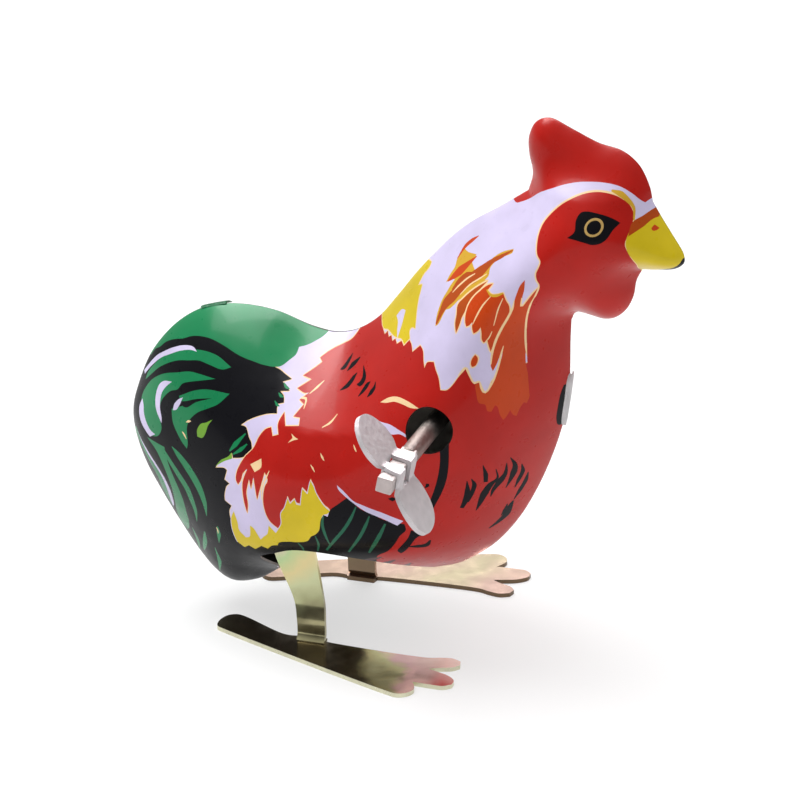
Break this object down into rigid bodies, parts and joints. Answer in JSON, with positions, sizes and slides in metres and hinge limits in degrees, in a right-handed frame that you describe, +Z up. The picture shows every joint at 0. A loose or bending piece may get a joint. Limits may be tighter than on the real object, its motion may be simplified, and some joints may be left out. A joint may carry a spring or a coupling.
{
  "type": "wind-up hopping chicken",
  "caption": "Tin wind-up hopping chicken: two pressed shells round a spring motor, a butterfly key on one side and flat sheet-metal feet that kick to make it hop.",
  "frame": {"origin": "bottom centre of the whole toy's box, key included, on the plane of the soles", "axes": "+X towards the beak, +Y towards the bird's left side (away from the key), +Z up"},
  "size_m": [0.0895, 0.068, 0.0868],
  "materials": {
    "printed_tin_right": "glossy printed tinplate",
    "printed_tin_left": "glossy printed tinplate",
    "yellow_zinc": "iridescent yellow passivated zinc",
    "nickel_key": "satin nickel",
    "frame_steel": "plain rolled steel",
    "gear_brass": "stamped brass",
    "blued_spring": "blued spring steel"
  },
  "bodies": {
    "chicken_body": {"shell_right": "printed_tin_right", "shell_left": "printed_tin_left", "frame_plate_right": "frame_steel", "frame_plate_left": "frame_steel", "frame_pillar_front": "frame_steel", "frame_pillar_top": "frame_steel", "frame_pillar_rear": "frame_steel", "frame_pillar_lower": "frame_steel", "frame_strap_lower": "frame_steel", "frame_strap_upper": "frame_steel", "mainspring": "blued_spring", "return_spring": "blued_spring"},
    "great_wheel_set": {"great_wheel": "gear_brass", "click_rivet": "frame_steel", "click_spring": "blued_spring"},
    "click": {"click_pawl": "frame_steel"},
    "winding_set": {"winding_arbor": "nickel_key", "winding_key": "nickel_key", "ratchet_wheel": "gear_brass"},
    "second_set": {"second_shaft": "frame_steel", "second_pinion": "frame_steel", "second_wheel": "gear_brass"},
    "cam_set": {"cam_shaft": "frame_steel", "cam_pinion": "frame_steel", "hop_cam": "frame_steel"},
    "leg_set": {"leg_right": "yellow_zinc", "leg_left": "yellow_zinc", "leg_axle": "frame_steel", "axle_spacer_right": "frame_steel", "axle_spacer_left": "frame_steel", "hop_lever": "frame_steel"}
  },
  "joints": [
    {"name": "great_wheel_spin", "type": "hinge", "parent": "chicken_body", "child": "great_wheel_set", "pos_m": [0.0102, 0.00665, 0.0413], "axis": [0, 1, 0], "continuous": true},
    {"name": "key_winding", "type": "hinge", "parent": "great_wheel_set", "child": "winding_set", "pos_m": [0.0102, 0.00665, 0.0413], "axis": [0, 1, 0], "continuous": true, "deforming": ["mainspring"]},
    {"name": "click_lift", "type": "hinge", "parent": "great_wheel_set", "child": "click", "pos_m": [0.00632, 0.00665, 0.04664], "axis": [0, 1, 0], "range_deg": [-12, 0], "stiffness_Nm_per_rad": 0.002, "springref_deg": 5.73, "deforming": ["click_spring"]},
    {"name": "second_shaft_spin", "type": "hinge", "parent": "chicken_body", "child": "second_set", "pos_m": [0.00075, 0.00665, 0.03492], "axis": [0, 1, 0], "continuous": true},
    {"name": "cam_spin", "type": "hinge", "parent": "chicken_body", "child": "cam_set", "pos_m": [-0.00677, 0.00665, 0.02792], "axis": [0, 1, 0], "continuous": true},
    {"name": "leg_swing", "type": "hinge", "parent": "chicken_body", "child": "leg_set", "pos_m": [-0.0146, 0.00665, 0.02], "axis": [0, 1, 0], "range_deg": [-6, 14], "deforming": ["return_spring"]}
  ],
  "couplings": [
    {"joint": "second_shaft_spin", "follows": "great_wheel_spin", "ratio": -4},
    {"joint": "cam_spin", "follows": "great_wheel_spin", "ratio": 16}
  ]
}
